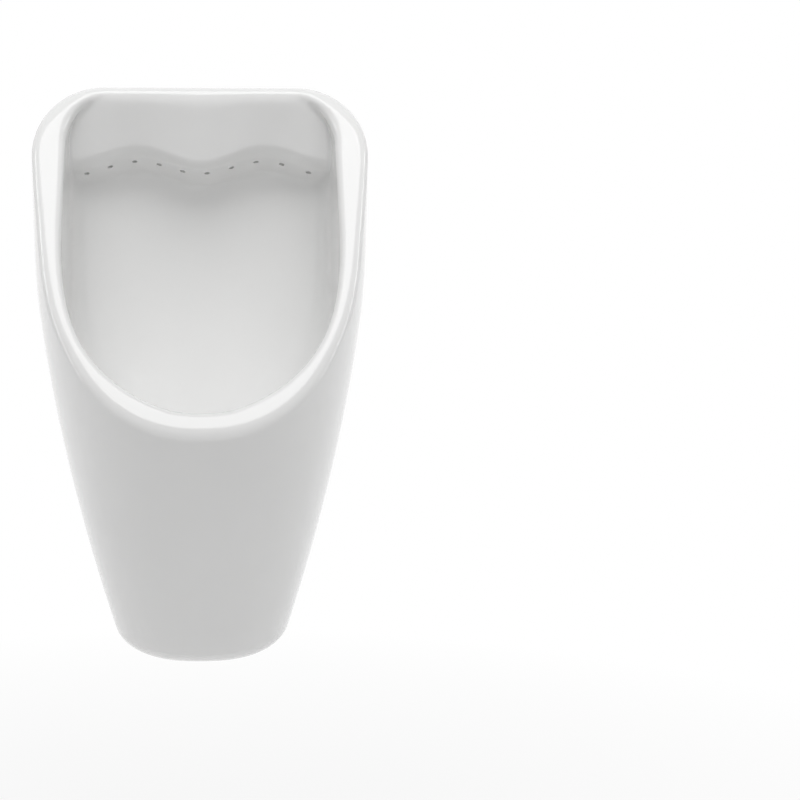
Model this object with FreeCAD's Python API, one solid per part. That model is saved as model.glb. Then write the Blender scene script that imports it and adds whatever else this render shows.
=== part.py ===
import FreeCAD, Part
import math
import os

# Wall-hung urinal with a rear inlet, a flush ledge, hidden side fixings and a concealed bottle trap.
# All sizes are in millimetres. X runs across the body, -Y points from the wall to the user and +Z is up.
# The origin lies on the wall plane, midway between the two fixing bolts.
# A place is given by x, depth (distance in front of the wall) and height (above the underside).

# Driving sizes of the ceramic body
body_height = 560.0
body_width = 332.0
foot_width = 172.0
foot_depth = 130.0
widest_height = 450.0
lip_height = 250.0
lip_depth = 300.0
rim_top_depth = 105.0
rim_sag = 6.0
front_bulge = 5.0
top_corner_radius = 70.0
foot_radius = 16.0
top_back_radius = 12.0
foot_back_radius = 7.0
wall = 12.0
top_wall = 22.0
side_sweep_power = 1.7
low_front_roundness = 2.35
high_front_roundness = 2.0
roundness_change_height = 340.0
body_section_points = 25
body_section_shares = (0, 0.06, 0.14, 0.23, 0.32, 0.42, 0.52, 0.61, 0.7, 0.79)
corner_turns = (0, 22, 42, 60, 75, 90)

# Rim
rim_outer_radius = 7.0
rim_depth = 18.0

# Bowl
bowl_width = 255.0
bowl_full_height = 380.0
bowl_top_height = 553.0
bowl_corner_radius = 50.0
bowl_back_depth = 42.0
bowl_back_full_height = 440.0
bowl_lip_height = 269.5
lip_wall = 27.0
bowl_wall = 11.0
bowl_side_power = 3.2
bowl_floor_power = 0.6
bowl_centre_share = 0.4
bowl_front_roundness = 1.95
bowl_back_roundness = 2.1
bowl_back_squareness = 6.0
bowl_round_height = 340.0
bowl_square_height = 450.0
bowl_section_points = 44
bowl_section_shares = (0, 0.02, 0.06, 0.12, 0.2, 0.29, 0.39, 0.5, 0.62, 0.74, 0.86)

# Drain seat, waste fitting and lift-out strainer
drain_depth = 120.0
seat_height = 200.0
seat_width = 84.0
drain_wall = 14.0
drain_hole_radius = 22.5
waste_flange_radius = 34.0
waste_flange_thickness = 4.0
waste_tail_radius = 21.0
waste_bore_radius = 18.0
waste_tail_gap = 4.0
waste_seal_radius = 32.0
top_seal_thickness = 2.0
bottom_seal_thickness = 3.0
back_nut_height = 12.0
back_nut_flats = 54.0
strainer_recess = 2.5
strainer_clearance = 0.5
strainer_thickness = 1.6
strainer_rise = 5.0
strainer_spigot_length = 9.0
strainer_window = 10.0
strainer_hole_radius = 2.6
strainer_ring_counts = (6, 12)
strainer_ring_shares = (0.4, 0.74)
dip_tube_radius = 15.5
dip_tube_wall = 2.0
dip_tube_end_height = 68.0
dip_seal_radius = 17.0
dip_seal_thickness = 2.4

# Bottle trap and outlet
fit_clearance = 0.2
trap_plate_height = 138.0
trap_wall = 4.0
trap_head_radius = 32.0
trap_head_height = 40.0
trap_collar_height = 18.0
trap_skirt_radius = 27.0
trap_skirt_height = 14.0
trap_outlet_height = 118.0
trap_stub_radius = 19.5
trap_stub_depth = 62.0
trap_stub_socket = 20.0
union_wall = 4.0
union_seal_thickness = 4.0
union_grip = 13.0
union_rib_count = 12
union_rib_radius = 2.0
cup_radius = 27.0
cup_wall = 3.0
cup_bottom_height = 52.0
cup_ring_radius = 32.0
cup_seal_thickness = 2.0
outlet_pipe_radius = 16.0
pipe_step = 0.5
pipe_wall = 2.0
wall_reach = 50.0

# Flush box and water inlet
ledge_height = 497.0
ledge_wave = 6.5
ledge_wave_length = 125.0
ledge_depth = 80.0
ledge_nose = 8.0
ledge_nose_spread = 45.0
ledge_rise = 16.0
flush_back_depth = 10.0
flush_wall = 8.0
flush_end_wall = 14.0
flush_stations = 21
spray_hole_radius = 2.5
spray_hole_shares = (-0.88, -0.7, -0.51, -0.32, -0.14, 0.05, 0.24, 0.43, 0.63, 0.84)
spray_tilt = 24.0
inlet_height = 512.0
inlet_hole_radius = 20.0
inlet_pipe_radius = 14.0
inlet_pipe_overhang = 12.0
inlet_seal_lip_radius = 24.0
inlet_seal_lip = 3.0
inlet_seal_overhang = 4.0

# Side pockets and wall fixings
fixing_height = 293.0
fixing_spacing = 236.0
pocket_back_depth = 18.0
pocket_front_depth = 66.0
pocket_top_height = 324.0
pocket_bottom_height = 247.0
pocket_inner_x = 90.0
pocket_front_draft = 13.0
pocket_bottom_draft = 20.0
pocket_top_draft = 5.0
pocket_corner_radius = 9.0
pocket_wall = 9.0
bush_radius = 7.0
bush_clearance = 0.3
bush_flange_radius = 10.8
bush_flange_thickness = 2.0
bush_recess = 1.0
bolt_radius = 4.0
bolt_tip_depth = 32.0
bolt_point = 6.0
washer_radius = 9.5
washer_thickness = 1.6
nut_flats = 13.0
nut_thickness = 6.5
plug_radius = 6.0
plug_nose = 8.0
plug_nose_radius = 4.8
cap_wall = 1.5
cap_straight = 7.0
cap_length = 21.5
cap_clearance = 0.3

overrun = 20.0
sides = {"left": -1, "right": 1}


def at(x, depth, height):
    """A point in the part's frame."""
    return FreeCAD.Vector(x, -depth, height - fixing_height)


def spline(points, closed=False):
    curve = Part.BSplineCurve()
    curve.interpolate(Points=points, PeriodicFlag=closed)
    return curve.toShape()


def polygon(points):
    return Part.makePolygon(points + [points[0]])


def loft(wires):
    return Part.makeLoft(wires, True, False)


def block(x, depths, heights):
    """A box from -x to +x."""
    low = at(-x, depths[1], heights[0])
    return Part.makeBox(2 * x, depths[1] - depths[0], heights[1] - heights[0], low)


def turned(profile, depth):
    """Turns a profile of (radius, height) points about the upright axis at that depth."""
    face = Part.Face(polygon([at(r, depth, h) for r, h in profile]))
    return face.revolve(at(0, depth, 0), FreeCAD.Vector(0, 0, 1), 360)


def turned_level(profile, x, height):
    """Turns a profile of (radius, depth) points about the level axis that runs to the wall."""
    face = Part.Face(polygon([at(x + r, d, height) for r, d in profile]))
    return face.revolve(at(x, 0, height), FreeCAD.Vector(0, 1, 0), 360)


def ring(outer, inner, heights, depth):
    low, high = heights
    return turned([(inner, low), (outer, low), (outer, high), (inner, high)], depth)


def level_ring(outer, inner, depths, x, height):
    near, far = depths
    return turned_level([(inner, near), (outer, near), (outer, far), (inner, far)], x, height)


def upright_rod(radius, heights, depth, x=0):
    low, high = heights
    return Part.makeCylinder(radius, high - low, at(x, depth, low))


def level_rod(radius, depths, x, height):
    near, far = depths
    return Part.makeCylinder(radius, far - near, at(x, near, height), FreeCAD.Vector(0, -1, 0))


def hexagon(flats):
    """Corners of a hexagon across its flats, as pairs."""
    corner = flats / math.sqrt(3)
    angles = [math.radians(60 * i) for i in range(6)]
    return [(corner * math.cos(angle), corner * math.sin(angle)) for angle in angles]


def blend(value, low, high):
    """0 below low, 1 above high, straight between."""
    return min(1, max(0, (value - low) / (high - low)))


# Outer form of the body


def body_half_width(height):
    """Half the width at the wall, before the rounding of the foot."""
    if height < widest_height:
        sweep = ((widest_height - height) / widest_height) ** side_sweep_power
        return body_width / 2 - (body_width - foot_width) / 2 * sweep
    rise = height - (body_height - top_corner_radius)
    if rise <= 0:
        return body_width / 2
    return body_width / 2 - top_corner_radius + math.sqrt(max(0, top_corner_radius**2 - rise**2))


def body_depth(height):
    """How far the nose reaches from the wall. Above the lip this is the form that the rim cuts."""
    share = height / lip_height
    return foot_depth + (lip_depth - foot_depth) * share + 4 * front_bulge * share * (1 - share)


def front_roundness(height):
    change = blend(height, roundness_change_height, widest_height)
    return low_front_roundness + (high_front_roundness - low_front_roundness) * change


def even_points(points, count):
    """Points at equal steps along a fine line, its ends included."""
    steps = [(b - a).Length for a, b in zip(points, points[1:])]
    total = sum(steps)
    chosen = [points[0]]
    walked = 0
    for a, b, step in zip(points, points[1:], steps):
        while len(chosen) < count - 1 and walked + step >= total * len(chosen) / (count - 1):
            left = total * len(chosen) / (count - 1) - walked
            chosen.append(a + (b - a) * (left / step))
        walked += step
    return chosen + [points[-1]]


def half_loop(width, reach, power, start_depth, height, sense):
    """Fine points of half a rounded loop, from +x round to -x, reaching forward or back."""
    fine = 400
    points = []
    for i in range(fine + 1):
        turn = math.pi * i / fine
        x = width * math.copysign(abs(math.cos(turn)) ** (2 / power), math.cos(turn))
        depth = start_depth + sense * reach * math.sin(turn) ** (2 / power)
        points.append(at(x, depth, height))
    return points


def body_section(height, inset):
    """A level section of the body, drawn past the wall so that the wall plane can cut it flat."""
    width = body_half_width(height) - inset
    fine = half_loop(width, body_depth(height) - inset, front_roundness(height), 0, height, 1)
    nose = even_points(fine, body_section_points)
    right = at(width, -overrun, height)
    left = at(-width, -overrun, height)
    sides = [Part.makeLine(right, nose[0]), Part.makeLine(nose[-1], left)]
    edges = [sides[0], spline(nose), sides[1], Part.makeLine(left, right)]
    return Part.Wire(edges)


def body_heights():
    straight = body_height - top_corner_radius
    heights = [share * body_height for share in body_section_shares]
    heights += [straight + top_corner_radius * math.sin(math.radians(turn)) for turn in corner_turns]
    return heights


def body_form():
    form = loft([body_section(height, 0) for height in body_heights()])
    return form.cut(block(body_width, (-2 * overrun, 0), (-overrun, body_height + overrun)))


def hollow_form():
    """The space inside the outer skin, open at the wall."""
    top = body_height - top_wall
    heights = [wall] + [height for height in body_heights() if wall < height < top] + [top]
    return loft([body_section(height, wall) for height in heights])


# Rim


def rim_point(share, offset):
    """A point on the rim's centre line from the lip to the top, set in from the rim face by the offset."""
    slope = math.atan2(lip_depth - rim_top_depth, body_height - lip_height)
    depth = lip_depth + (rim_top_depth - lip_depth) * share - offset * math.cos(slope)
    height = lip_height + (body_height - lip_height) * share - offset * math.sin(slope)
    dip = 4 * rim_sag * share * (1 - share)
    return depth - dip * math.cos(slope), height - dip * math.sin(slope)


def rim_space(offset):
    """Everything in front of the rim face, or of a face set in from it."""
    low = rim_point(-0.2, offset)
    middle = rim_point(0.5, offset)
    high = rim_point(1.2, offset)
    front = 2 * lip_depth
    x = -body_width
    arc = Part.Arc(at(x, *low), at(x, *middle), at(x, *high)).toShape()
    corners = [at(x, *high), at(x, front, high[1]), at(x, front, low[1]), at(x, *low)]
    edges = [arc] + [Part.makeLine(a, b) for a, b in zip(corners, corners[1:])]
    return Part.Face(Part.Wire(edges)).extrude(FreeCAD.Vector(2 * body_width, 0, 0))


def rounded_rim(shape):
    """Rounds the outer edges of the rim, the largest round face of the cut form."""
    round_faces = [face for face in shape.Faces if face.Surface.TypeId == "Part::GeomCylinder"]
    rim = max(round_faces, key=lambda face: face.Area)
    return shape.makeFillet(rim_outer_radius, rim.Edges)


def rounded_back(shape):
    """Rounds the level edges at the wall, along the top and along the foot."""
    for radius, edge, sense in ((top_back_radius, body_height, 1), (foot_back_radius, 0, -1)):
        heights = sorted((edge - sense * radius, edge + sense * overrun))
        corner = block(body_width, (-overrun, radius), heights)
        start = at(-body_width, radius, edge - sense * radius)
        rounding = Part.makeCylinder(radius, 2 * body_width, start, FreeCAD.Vector(1, 0, 0))
        shape = shape.cut(corner.cut(rounding))
    return shape


def rounded_foot(shape):
    """Rounds the edge round the underside, apart from its straight edge on the wall."""
    underside = min(shape.Faces, key=lambda face: face.CenterOfMass.z)
    edges = [edge for edge in underside.Edges if edge.BoundBox.YLength > foot_radius]
    return shape.makeFillet(foot_radius, edges)


# Bowl


def bowl_half_width(height):
    fill = max(0, (bowl_full_height - height) / (bowl_full_height - seat_height))
    width = bowl_width / 2 - (bowl_width - seat_width) / 2 * fill**bowl_side_power
    rise = height - (bowl_top_height - bowl_corner_radius)
    if rise > 0:
        width -= bowl_corner_radius - math.sqrt(max(0, bowl_corner_radius**2 - rise**2))
    return width


def bowl_front_depth(height):
    if height >= bowl_lip_height:
        return body_depth(height) - lip_wall
    share = (height - seat_height) / (bowl_lip_height - seat_height)
    seat_front = drain_depth + seat_width / 2
    lip_front = body_depth(bowl_lip_height) - lip_wall
    return seat_front + (lip_front - seat_front) * share**bowl_floor_power


def bowl_rear_depth(height):
    if height >= bowl_back_full_height:
        return bowl_back_depth
    lean = (bowl_back_full_height - height) / (bowl_back_full_height - seat_height)
    return bowl_back_depth + (drain_depth - seat_width / 2 - bowl_back_depth) * lean**2


def bowl_section(height, outset, level=None):
    front = bowl_front_depth(height) + outset
    rear = bowl_rear_depth(height) - outset
    centre = rear + (front - rear) * bowl_centre_share
    width = bowl_half_width(height) + outset
    square = blend(height, bowl_round_height, bowl_square_height)
    rear_power = bowl_back_roundness + (bowl_back_squareness - bowl_back_roundness) * square
    place = height if level is None else level
    ahead = half_loop(width, front - centre, bowl_front_roundness, centre, place, 1)
    behind = half_loop(width, centre - rear, rear_power, centre, place, -1)
    fine = ahead + behind[::-1][1:]
    return Part.Wire(spline(even_points(fine, bowl_section_points + 1)[:-1], closed=True))


def bowl_heights():
    straight = bowl_top_height - bowl_corner_radius
    heights = [seat_height + share * (straight - seat_height) for share in bowl_section_shares]
    heights += [straight + bowl_corner_radius * math.sin(math.radians(turn)) for turn in corner_turns]
    return heights


def bowl_space():
    return loft([bowl_section(height, 0) for height in bowl_heights()])


def bowl_shell():
    """The bowl's outer skin as a solid, with a flat underside below the drain."""
    heights = bowl_heights()
    wires = [bowl_section(heights[0], bowl_wall, seat_height - drain_wall)]
    wires += [bowl_section(height, bowl_wall) for height in heights[1:-1]]
    wires += [bowl_section(heights[-1], bowl_wall, body_height)]
    return loft(wires)


# Flush box


def ledge_edge(x):
    """Depth and height of the ledge's front edge, which waves across the bowl."""
    height = ledge_height - ledge_wave * math.cos(2 * math.pi * x / ledge_wave_length)
    depth = ledge_depth + ledge_nose * math.exp(-((x / ledge_nose_spread) ** 2))
    return depth, height


def flush_loft(half_length, corners_at):
    places = [half_length * (2 * i / (flush_stations - 1) - 1) for i in range(flush_stations)]
    return loft([polygon([at(x, depth, height) for depth, height in corners_at(x)]) for x in places])


def flush_block_corners(x):
    """The block that closes the top of the bowl. Its front leans back from the rim down to the ledge."""
    depth, height = ledge_edge(x)
    top = body_height + overrun
    return [
        (flush_back_depth, height - ledge_rise),
        (bowl_back_depth, height - ledge_rise),
        (depth, height),
        (rim_top_depth, bowl_top_height),
        (rim_top_depth, top),
        (flush_back_depth, top),
    ]


def flush_chamber_corners(x):
    """The water space inside the block, one wall in from each of its faces."""
    depth, height = ledge_edge(x)
    top = bowl_top_height - flush_wall
    lean = (rim_top_depth - depth) / (bowl_top_height - height)
    rear = flush_back_depth + flush_wall
    return [
        (rear, height - ledge_rise + flush_wall),
        (bowl_back_depth, height - ledge_rise + flush_wall),
        (depth - flush_wall, height + flush_wall),
        (depth - flush_wall + lean * (top - height), top),
        (rear, top),
    ]


def flush_block():
    return flush_loft(bowl_width, flush_block_corners)


def flush_chamber():
    return flush_loft(bowl_width / 2 - flush_end_wall, flush_chamber_corners)


def spray_holes():
    holes = []
    tilt = math.radians(spray_tilt)
    along = FreeCAD.Vector(0, -math.sin(tilt), -math.cos(tilt))
    for share in spray_hole_shares:
        x = share * bowl_width / 2
        depth, height = ledge_edge(x)
        middle = at(x, (depth + bowl_back_depth) / 2, height - ledge_rise / 2)
        start = middle - along * (2 * flush_wall)
        holes.append(Part.makeCylinder(spray_hole_radius, 4 * flush_wall, start, along))
    return holes


# Side pockets


def pocket_wire(x, grow, draft):
    """The D-shaped outline of a pocket at one station, grown by a wall."""
    rear = pocket_back_depth if not grow else -overrun
    front = pocket_front_depth - draft * pocket_front_draft + grow
    low = pocket_bottom_height + draft * pocket_bottom_draft - grow
    high = pocket_top_height - draft * pocket_top_draft + grow
    corner = pocket_corner_radius
    middle = (low + high) / 2
    cut = corner * (1 - math.sqrt(0.5))
    top_start = at(x, rear, high - corner)
    top_end = at(x, rear + corner, high)
    low_start = at(x, rear + corner, low)
    low_end = at(x, rear, low + corner)
    edges = [
        Part.Arc(top_start, at(x, rear + cut, high - cut), top_end).toShape(),
        Part.Arc(top_end, at(x, front, middle), low_start).toShape(),
        Part.Arc(low_start, at(x, rear + cut, low + cut), low_end).toShape(),
        Part.makeLine(low_end, top_start),
    ]
    return Part.Wire(edges)


def pocket_form(side, grow):
    mouth_x = body_width / 2
    reach = (mouth_x - pocket_inner_x + overrun) / (mouth_x - pocket_inner_x)
    outer = pocket_wire(side * (mouth_x + overrun), grow, 1 - reach)
    inner = pocket_wire(side * (pocket_inner_x - grow), grow, 1)
    return Part.makeLoft([outer, inner], True, True)


def ceramic_body():
    body = rounded_back(rounded_rim(rounded_foot(body_form()).cut(rim_space(0))))
    bowl = bowl_space().cut(flush_block())
    hollow = hollow_form().cut(rim_space(rim_depth)).cut(bowl_shell()).cut(flush_block())
    for side in sides.values():
        hollow = hollow.cut(pocket_form(side, pocket_wall))
    body = body.cut(hollow).cut(bowl).cut(flush_chamber()).cut(spray_holes())
    inlet = level_rod(inlet_hole_radius, (0, flush_back_depth + 2 * flush_wall), 0, inlet_height)
    drain_heights = (seat_height - drain_wall - overrun, seat_height + overrun)
    drain = upright_rod(drain_hole_radius, drain_heights, drain_depth)
    body = body.cut([inlet, drain])
    for side in sides.values():
        hole_depths = (-overrun, pocket_back_depth + overrun)
        hole = level_rod(bush_radius + bush_clearance, hole_depths, side * fixing_spacing / 2, fixing_height)
        body = body.cut([pocket_form(side, 0), hole])
    return body


# Wall fixings, the same on both sides


def dome_arc(radius, foot, tip, x, height):
    """A round arc from the edge of a cap to its tip on the axis."""
    centre = (tip**2 - foot**2 - radius**2) / (2 * (tip - foot))
    size = tip - centre
    half_turn = math.atan2(foot - centre, radius) / 2 + math.pi / 4
    middle = (size * math.cos(half_turn), centre + size * math.sin(half_turn))
    points = [(radius, foot), middle, (0, tip)]
    return Part.Arc(*[at(x + r, d, height) for r, d in points]).toShape()


def bolt_cap(x):
    """A hollow dome that pushes on over the bush flange."""
    inner = bush_flange_radius + cap_clearance
    outer = inner + cap_wall
    foot = pocket_back_depth + cap_clearance
    shoulder = foot + cap_straight
    tip = foot + cap_length
    edges = [
        Part.makeLine(at(x + inner, foot, fixing_height), at(x + outer, foot, fixing_height)),
        Part.makeLine(at(x + outer, foot, fixing_height), at(x + outer, shoulder, fixing_height)),
        dome_arc(outer, shoulder, tip, x, fixing_height),
        Part.makeLine(at(x, tip, fixing_height), at(x, tip - cap_wall, fixing_height)),
        dome_arc(inner, shoulder, tip - cap_wall, x, fixing_height),
        Part.makeLine(at(x + inner, shoulder, fixing_height), at(x + inner, foot, fixing_height)),
    ]
    face = Part.Face(Part.Wire(Part.sortEdges(edges)[0]))
    return face.revolve(at(x, 0, fixing_height), FreeCAD.Vector(0, 1, 0), 360)


def wall_fixing(x):
    bore = bolt_radius + fit_clearance
    bush_face = pocket_back_depth + bush_flange_thickness
    washer_face = bush_face + washer_thickness
    bolt = [
        (0, bolt_tip_depth),
        (bolt_radius, bolt_tip_depth),
        (bolt_radius, bolt_point - wall_reach),
        (0, -wall_reach),
    ]
    plug = [
        (bore, 0),
        (plug_radius, 0),
        (plug_radius, plug_nose - wall_reach),
        (plug_nose_radius, -wall_reach),
        (bore, -wall_reach),
    ]
    bush = [
        (bore, bush_recess),
        (bush_radius, bush_recess),
        (bush_radius, pocket_back_depth),
        (bush_flange_radius, pocket_back_depth),
        (bush_flange_radius, bush_face),
        (bore, bush_face),
    ]
    corners = [at(x + a, washer_face, fixing_height + b) for a, b in hexagon(nut_flats)]
    nut = Part.Face(polygon(corners)).extrude(FreeCAD.Vector(0, -nut_thickness, 0))
    nut_depths = (washer_face - overrun, washer_face + nut_thickness + overrun)
    return {
        "hanger_bolt": turned_level(bolt, x, fixing_height),
        "wall_plug": turned_level(plug, x, fixing_height),
        "bolt_bush": turned_level(bush, x, fixing_height),
        "bolt_washer": level_ring(washer_radius, bore, (bush_face, washer_face), x, fixing_height),
        "bolt_nut": nut.cut(level_rod(bore, nut_depths, x, fixing_height)),
        "bolt_cap": bolt_cap(x),
    }


# Water inlet


def stepped_pipe(radius, start, step, height):
    """A pipe from the wall to its start inside the body, a little slimmer from the step inwards."""
    spigot = radius - pipe_step
    bore = spigot - pipe_wall
    free_end = [(bore, -wall_reach), (radius, -wall_reach), (radius, step)]
    profile = free_end + [(spigot, step), (spigot, start), (bore, start)]
    return turned_level(profile, 0, height)


def water_inlet():
    seal_face = flush_back_depth - inlet_seal_lip
    chamber_face = flush_back_depth + flush_wall
    seal_end = chamber_face + inlet_seal_overhang
    sleeve = inlet_hole_radius - fit_clearance
    bore = inlet_pipe_radius - pipe_step
    seal = [
        (bore, seal_face),
        (inlet_seal_lip_radius, seal_face),
        (inlet_seal_lip_radius, flush_back_depth),
        (sleeve, flush_back_depth),
        (sleeve, seal_end),
        (bore, seal_end),
    ]
    pipe_start = chamber_face + inlet_pipe_overhang
    return {
        "inlet_seal": turned_level(seal, 0, inlet_height),
        "inlet_pipe": stepped_pipe(inlet_pipe_radius, pipe_start, seal_face, inlet_height),
    }


# Waste fitting and lift-out strainer


def waste_fitting():
    flange_foot = seat_height + top_seal_thickness
    flange_top = flange_foot + waste_flange_thickness
    strainer_seat = flange_top - strainer_recess
    tail_end = trap_plate_height + waste_tail_gap
    under = seat_height - drain_wall
    nut_top = under - bottom_seal_thickness
    recess = waste_flange_radius - waste_flange_thickness
    flange = [
        (waste_bore_radius, tail_end),
        (waste_tail_radius, tail_end),
        (waste_tail_radius, flange_foot),
        (waste_flange_radius, flange_foot),
        (waste_flange_radius, flange_top),
        (recess, flange_top),
        (recess, strainer_seat),
        (waste_bore_radius, strainer_seat),
    ]
    tail_hole = waste_tail_radius + fit_clearance
    corners = [at(a, drain_depth + b, nut_top - back_nut_height) for a, b in hexagon(back_nut_flats)]
    nut = Part.Face(polygon(corners)).extrude(FreeCAD.Vector(0, 0, back_nut_height))
    return {
        "waste_flange": turned(flange, drain_depth),
        "waste_top_seal": ring(waste_seal_radius, tail_hole, (seat_height, flange_foot), drain_depth),
        "waste_bottom_seal": ring(waste_seal_radius, tail_hole, (nut_top, under), drain_depth),
        "waste_back_nut": nut.cut(upright_rod(tail_hole, (tail_end, under), drain_depth)),
    }


def strainer():
    seat = seat_height + top_seal_thickness + waste_flange_thickness - strainer_recess
    radius = waste_flange_radius - waste_flange_thickness - strainer_clearance
    spigot = waste_bore_radius - strainer_clearance
    tube_top = seat - strainer_spigot_length / 2
    seal_top = trap_plate_height - (trap_wall - dip_seal_thickness) / 2
    dome = cap_of_sphere(radius, seat + strainer_thickness, strainer_rise)
    dome = dome.fuse(upright_rod(radius, (seat, seat + strainer_thickness), drain_depth))
    under = cap_of_sphere(radius - strainer_thickness, seat, strainer_rise)
    grid = dome.cut(under)
    spigot_bore = dip_tube_radius + fit_clearance
    lower = ring(spigot, spigot_bore, (seat - strainer_spigot_length, seat + strainer_rise), drain_depth)
    grid = grid.fuse(lower.common(dome.fuse(upright_rod(radius, (0, seat), drain_depth))))
    for along_x in (True, False):
        x = 2 * spigot if along_x else strainer_window
        y = strainer_window if along_x else 2 * spigot
        low = at(-x / 2, drain_depth + y / 2, tube_top)
        grid = grid.cut(Part.makeBox(x, y, seat + strainer_thickness - tube_top, low))
    for count, share in zip(strainer_ring_counts, strainer_ring_shares):
        for i in range(count):
            turn = 2 * math.pi * i / count
            x = share * radius * math.cos(turn)
            depth = drain_depth + share * radius * math.sin(turn)
            heights = (seat + strainer_thickness, seat + 2 * strainer_rise)
            grid = grid.cut(upright_rod(strainer_hole_radius, heights, depth, x))
    bore = dip_tube_radius - dip_tube_wall
    seal_heights = (seal_top - dip_seal_thickness, seal_top)
    return {
        "strainer_grid": grid,
        "dip_tube": ring(dip_tube_radius, bore, (dip_tube_end_height, tube_top), drain_depth),
        "dip_tube_seal": ring(dip_seal_radius, dip_tube_radius, seal_heights, drain_depth),
    }


def cap_of_sphere(radius, foot, rise):
    """The part of a ball above a level plane, over the drain."""
    size = (radius**2 + rise**2) / (2 * rise)
    ball = Part.makeSphere(size, at(0, drain_depth, foot + rise - size))
    above = Part.makeBox(2 * size, 2 * size, 2 * size, at(-size, drain_depth + size, foot))
    return ball.common(above)


# Bottle trap and outlet


def ribs(radius, heights):
    """Grip ribs round an upright nut."""
    found = []
    for i in range(union_rib_count):
        turn = 2 * math.pi * i / union_rib_count
        depth = drain_depth + radius * math.sin(turn)
        found.append(upright_rod(union_rib_radius, heights, depth, radius * math.cos(turn)))
    return found


def level_ribs(radius, depths, height):
    """Grip ribs round a nut on the outlet's axis."""
    found = []
    for i in range(union_rib_count):
        turn = 2 * math.pi * i / union_rib_count
        x = radius * math.cos(turn)
        found.append(level_rod(union_rib_radius, depths, x, height + radius * math.sin(turn)))
    return found


def trap_head():
    floor = trap_plate_height - trap_head_height
    under_plate = trap_plate_height - trap_wall
    socket = waste_tail_radius + fit_clearance
    skirt_bore = trap_skirt_radius - trap_wall
    inside = trap_head_radius - trap_wall
    plate_bore = waste_bore_radius - strainer_clearance
    profile = [
        (plate_bore, under_plate),
        (plate_bore, trap_plate_height),
        (socket, trap_plate_height),
        (socket, trap_plate_height + trap_collar_height),
        (socket + trap_wall, trap_plate_height + trap_collar_height),
        (socket + trap_wall, trap_plate_height),
        (trap_head_radius, trap_plate_height),
        (trap_head_radius, floor),
        (trap_skirt_radius, floor),
        (trap_skirt_radius, floor - trap_skirt_height),
        (skirt_bore, floor - trap_skirt_height),
        (skirt_bore, floor + trap_wall),
        (inside, floor + trap_wall),
        (inside, under_plate),
    ]
    inner_spaces = [
        upright_rod(inside, (floor + trap_wall, under_plate), drain_depth),
        upright_rod(plate_bore, (under_plate, trap_plate_height), drain_depth),
        upright_rod(skirt_bore, (floor, floor + trap_wall), drain_depth),
    ]
    stub = level_rod(trap_stub_radius, (trap_stub_depth, drain_depth), 0, trap_outlet_height)
    stub = stub.cut(inner_spaces)
    head = turned(profile, drain_depth).fuse(stub)
    spigot = outlet_pipe_radius - pipe_step
    bore = spigot - pipe_wall
    socket_depths = (trap_stub_depth, trap_stub_depth + trap_stub_socket)
    way = level_rod(bore, (trap_stub_depth, drain_depth), 0, trap_outlet_height)
    way = way.fuse(level_rod(spigot + fit_clearance, socket_depths, 0, trap_outlet_height))
    return head.cut(way)


def trap_cup():
    """The cup that holds the standing water, with a ribbed ring that screws up over the trap's skirt."""
    shoulder = trap_plate_height - trap_head_height - trap_skirt_height - cup_seal_thickness
    ring_top = trap_plate_height - trap_head_height - fit_clearance
    inside = cup_radius - cup_wall
    profile = [
        (0, cup_bottom_height),
        (cup_radius - cup_wall, cup_bottom_height),
        (cup_radius, cup_bottom_height + cup_wall),
        (cup_radius, shoulder - cup_wall),
        (cup_ring_radius, shoulder - cup_wall),
        (cup_ring_radius, ring_top),
        (trap_skirt_radius + fit_clearance, ring_top),
        (trap_skirt_radius + fit_clearance, shoulder),
        (inside, shoulder),
        (inside, cup_bottom_height + cup_wall),
        (0, cup_bottom_height + cup_wall),
    ]
    cup = turned(profile, drain_depth)
    return cup.fuse(ribs(cup_ring_radius, (shoulder - cup_wall, ring_top)))


def bottle_trap():
    collar = waste_tail_radius + fit_clearance + trap_wall
    collar_top = trap_plate_height + trap_collar_height
    nut_bore = collar + fit_clearance
    nut_radius = nut_bore + union_wall
    nut_foot = collar_top - union_grip
    seal_top = collar_top + union_seal_thickness
    nut_top = seal_top + union_wall
    tail_hole = waste_tail_radius + fit_clearance
    inlet_nut = turned(
        [
            (nut_bore, nut_foot),
            (nut_radius, nut_foot),
            (nut_radius, nut_top),
            (tail_hole, nut_top),
            (tail_hole, seal_top),
            (nut_bore, seal_top),
        ],
        drain_depth,
    )
    cup_seal_top = trap_plate_height - trap_head_height - trap_skirt_height
    cup_seal_heights = (cup_seal_top - cup_seal_thickness, cup_seal_top)
    return {
        "trap_inlet_seal": ring(collar, tail_hole, (collar_top, seal_top), drain_depth),
        "trap_inlet_nut": inlet_nut.fuse(ribs(nut_radius, (nut_foot, nut_top))),
        "trap_head": trap_head(),
        "trap_cup": trap_cup(),
        "trap_cup_seal": ring(
            trap_skirt_radius, trap_skirt_radius - trap_wall, cup_seal_heights, drain_depth
        ),
    }


def waste_outlet():
    pipe_hole = outlet_pipe_radius - pipe_step + fit_clearance
    seal_end = trap_stub_depth - union_seal_thickness
    nut_end = seal_end - union_wall
    nut_start = trap_stub_depth + union_grip
    nut_bore = trap_stub_radius + fit_clearance
    nut_radius = nut_bore + union_wall
    nut = turned_level(
        [
            (nut_bore, nut_start),
            (nut_radius, nut_start),
            (nut_radius, nut_end),
            (pipe_hole, nut_end),
            (pipe_hole, seal_end),
            (nut_bore, seal_end),
        ],
        0,
        trap_outlet_height,
    )
    pipe_start = trap_stub_depth + trap_stub_socket
    return {
        "outlet_nut": nut.fuse(level_ribs(nut_radius, (nut_end, nut_start), trap_outlet_height)),
        "outlet_seal": level_ring(
            trap_stub_radius, pipe_hole, (seal_end, trap_stub_depth), 0, trap_outlet_height
        ),
        "outlet_pipe": stepped_pipe(outlet_pipe_radius, pipe_start, nut_end, trap_outlet_height),
    }


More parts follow.
